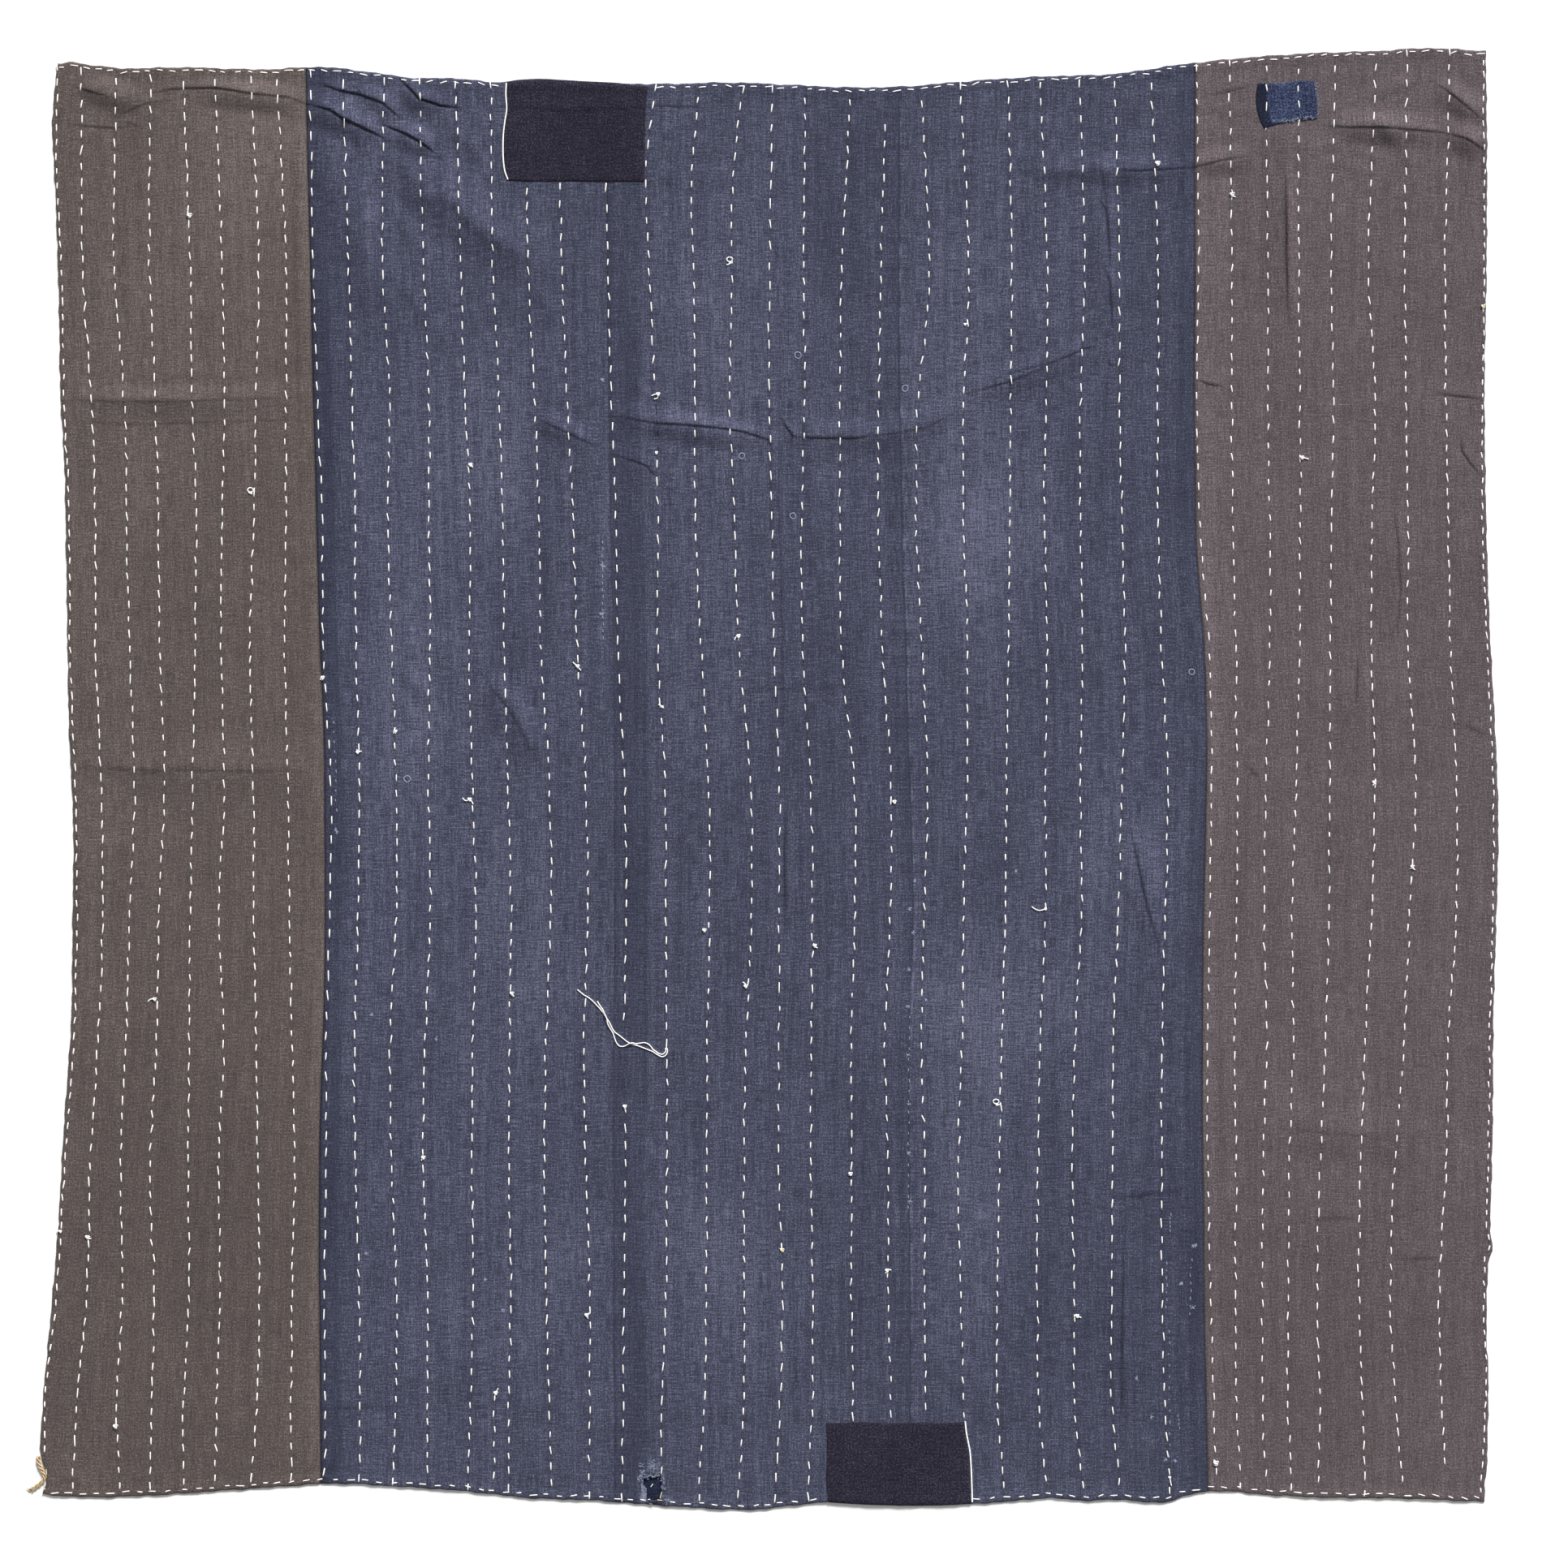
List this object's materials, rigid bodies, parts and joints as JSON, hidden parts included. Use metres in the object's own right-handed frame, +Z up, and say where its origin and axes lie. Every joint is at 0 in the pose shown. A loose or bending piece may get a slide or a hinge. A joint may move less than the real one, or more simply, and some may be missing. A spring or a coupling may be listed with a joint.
{
  "type": "sashiko embroidered cloth",
  "caption": "Large flat quilted cotton cloth of joined loom widths with rows of running stitch, patches and loose thread ends.",
  "frame": {"origin": "on the floor under the middle of the cloth", "axes": "+Z up from the floor through the shown face, +Y towards the top hem, +X towards the right edge"},
  "size_m": [1.7057, 1.6978, 0.0067],
  "materials": {
    "brown_cotton": "plain weave, matt, faded",
    "indigo_cotton": "plain weave, matt, worn and faded",
    "dark_patch_cotton": "plain weave, matt",
    "blue_patch_cotton": "plain weave, matt, frayed edge",
    "mend_cotton": "plain weave, matt",
    "white_thread": "twisted cotton thread",
    "tan_yarn": "soft twisted yarn"
  },
  "bodies": {
    "root": {"brown_panel_left": "brown_cotton", "indigo_panel_left": "indigo_cotton", "indigo_panel_middle": "indigo_cotton", "indigo_panel_right": "indigo_cotton", "brown_panel_right": "brown_cotton", "dark_patch_top": "dark_patch_cotton", "dark_patch_bottom": "dark_patch_cotton", "blue_patch": "blue_patch_cotton", "mend_cloth": "mend_cotton", "loose_thread_long": "white_thread", "loose_thread_looped": "white_thread", "corner_yarn": "tan_yarn"}
  },
  "joints": []
}
